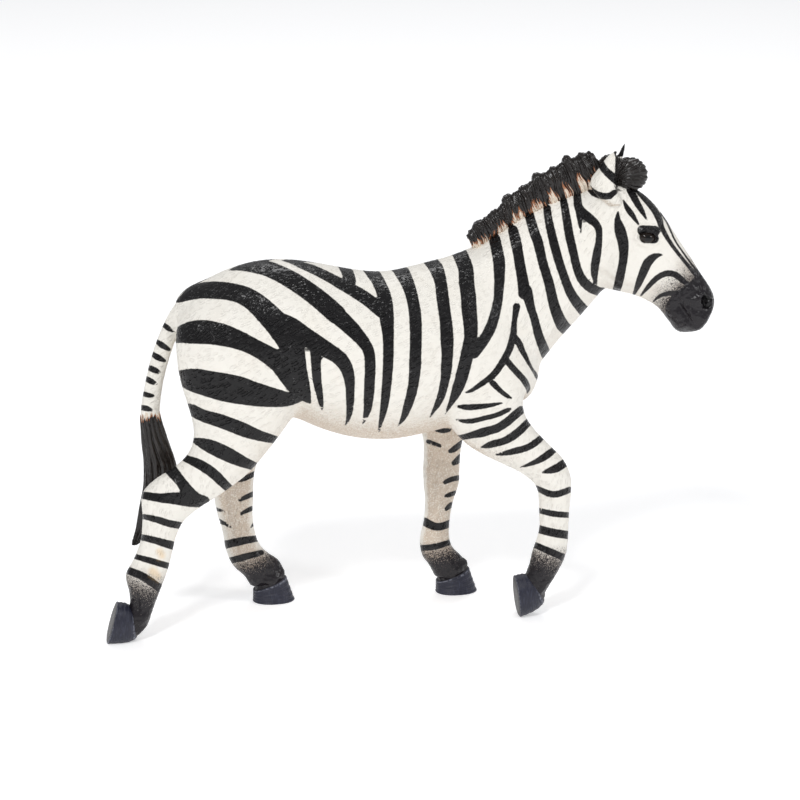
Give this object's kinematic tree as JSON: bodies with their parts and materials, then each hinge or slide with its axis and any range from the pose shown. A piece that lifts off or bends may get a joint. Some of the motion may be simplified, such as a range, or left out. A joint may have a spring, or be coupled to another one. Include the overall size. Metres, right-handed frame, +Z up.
{
  "type": "zebra figurine",
  "caption": "Walking zebra moulded in one piece, head turned a little aside, upright lobed mane, hanging tail with a tuft and one fore and one hind hoof tipped on its toe.",
  "frame": {"origin": "on the floor, under the middle of the figure's bounding box", "axes": "+X the way the zebra walks and faces, +Y to its left, +Z up"},
  "size_m": [0.1358, 0.032, 0.1039],
  "materials": {
    "painted_plastic": "warm white moulded plastic, hand painted with satin black stripes, a dark muzzle, dark mane and tail tuft and slate hooves"
  },
  "bodies": {
    "root": {"zebra": "painted_plastic"}
  },
  "joints": []
}
